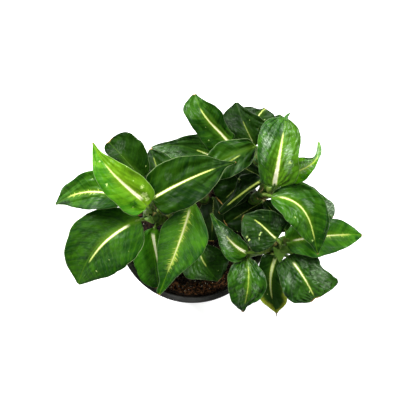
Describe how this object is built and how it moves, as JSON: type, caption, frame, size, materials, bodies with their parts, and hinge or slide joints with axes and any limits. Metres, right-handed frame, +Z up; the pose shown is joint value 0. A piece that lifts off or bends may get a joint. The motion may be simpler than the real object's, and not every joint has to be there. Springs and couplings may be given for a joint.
{
  "type": "potted dieffenbachia",
  "caption": "Young dieffenbachia with pale-ribbed green leaves on leaning canes, growing in potting soil in a round black plastic nursery pot.",
  "frame": {"origin": "centre of the pot's flat underside, on the surface that the pot stands on", "axes": "+Z up along the pot's axis; +X to the right and +Y away, seen from the side that shows the bare soil and the front of the rim"},
  "size_m": [0.2996, 0.2035, 0.2306],
  "materials": {
    "pot": "black polypropylene, satin, faintly scuffed along the rim",
    "soil": "dark brown peat and coir with a few pale grains, rough",
    "cane": "green plant cane with tan rings, satin",
    "leaf_young": "young leaf, bright yellow-green with a cream midrib, waxy",
    "leaf_green": "grown leaf, mid green with a cream midrib and pale flecks, glossy",
    "leaf_dark": "older shaded leaf, dark green with a cream midrib, glossy"
  },
  "bodies": {
    "root": {"pot": "pot", "soil": "soil", "left_cane": "cane", "left_leaf_1": "leaf_young", "left_leaf_2": "leaf_green", "left_leaf_3": "leaf_green", "left_leaf_4": "leaf_dark", "left_leaf_5": "leaf_green", "left_leaf_6": "leaf_dark", "left_leaf_7": "leaf_dark", "left_leaf_8": "leaf_dark", "middle_cane": "cane", "middle_leaf_1": "leaf_green", "middle_leaf_2": "leaf_dark", "middle_leaf_3": "leaf_dark", "back_cane": "cane", "back_leaf_1": "leaf_green", "back_leaf_2": "leaf_dark", "back_leaf_3": "leaf_dark", "back_leaf_4": "leaf_dark", "back_leaf_5": "leaf_green", "back_leaf_6": "leaf_dark", "back_leaf_7": "leaf_dark", "right_cane": "cane", "right_leaf_1": "leaf_green", "right_leaf_2": "leaf_green", "right_leaf_3": "leaf_young", "right_leaf_4": "leaf_green", "right_leaf_5": "leaf_dark", "right_leaf_6": "leaf_dark", "right_leaf_7": "leaf_dark", "front_cane": "cane", "front_leaf_1": "leaf_dark", "front_leaf_2": "leaf_green", "front_leaf_3": "leaf_green", "front_leaf_4": "leaf_dark", "front_leaf_5": "leaf_dark", "front_leaf_6": "leaf_green", "front_leaf_7": "leaf_dark"}
  },
  "joints": []
}
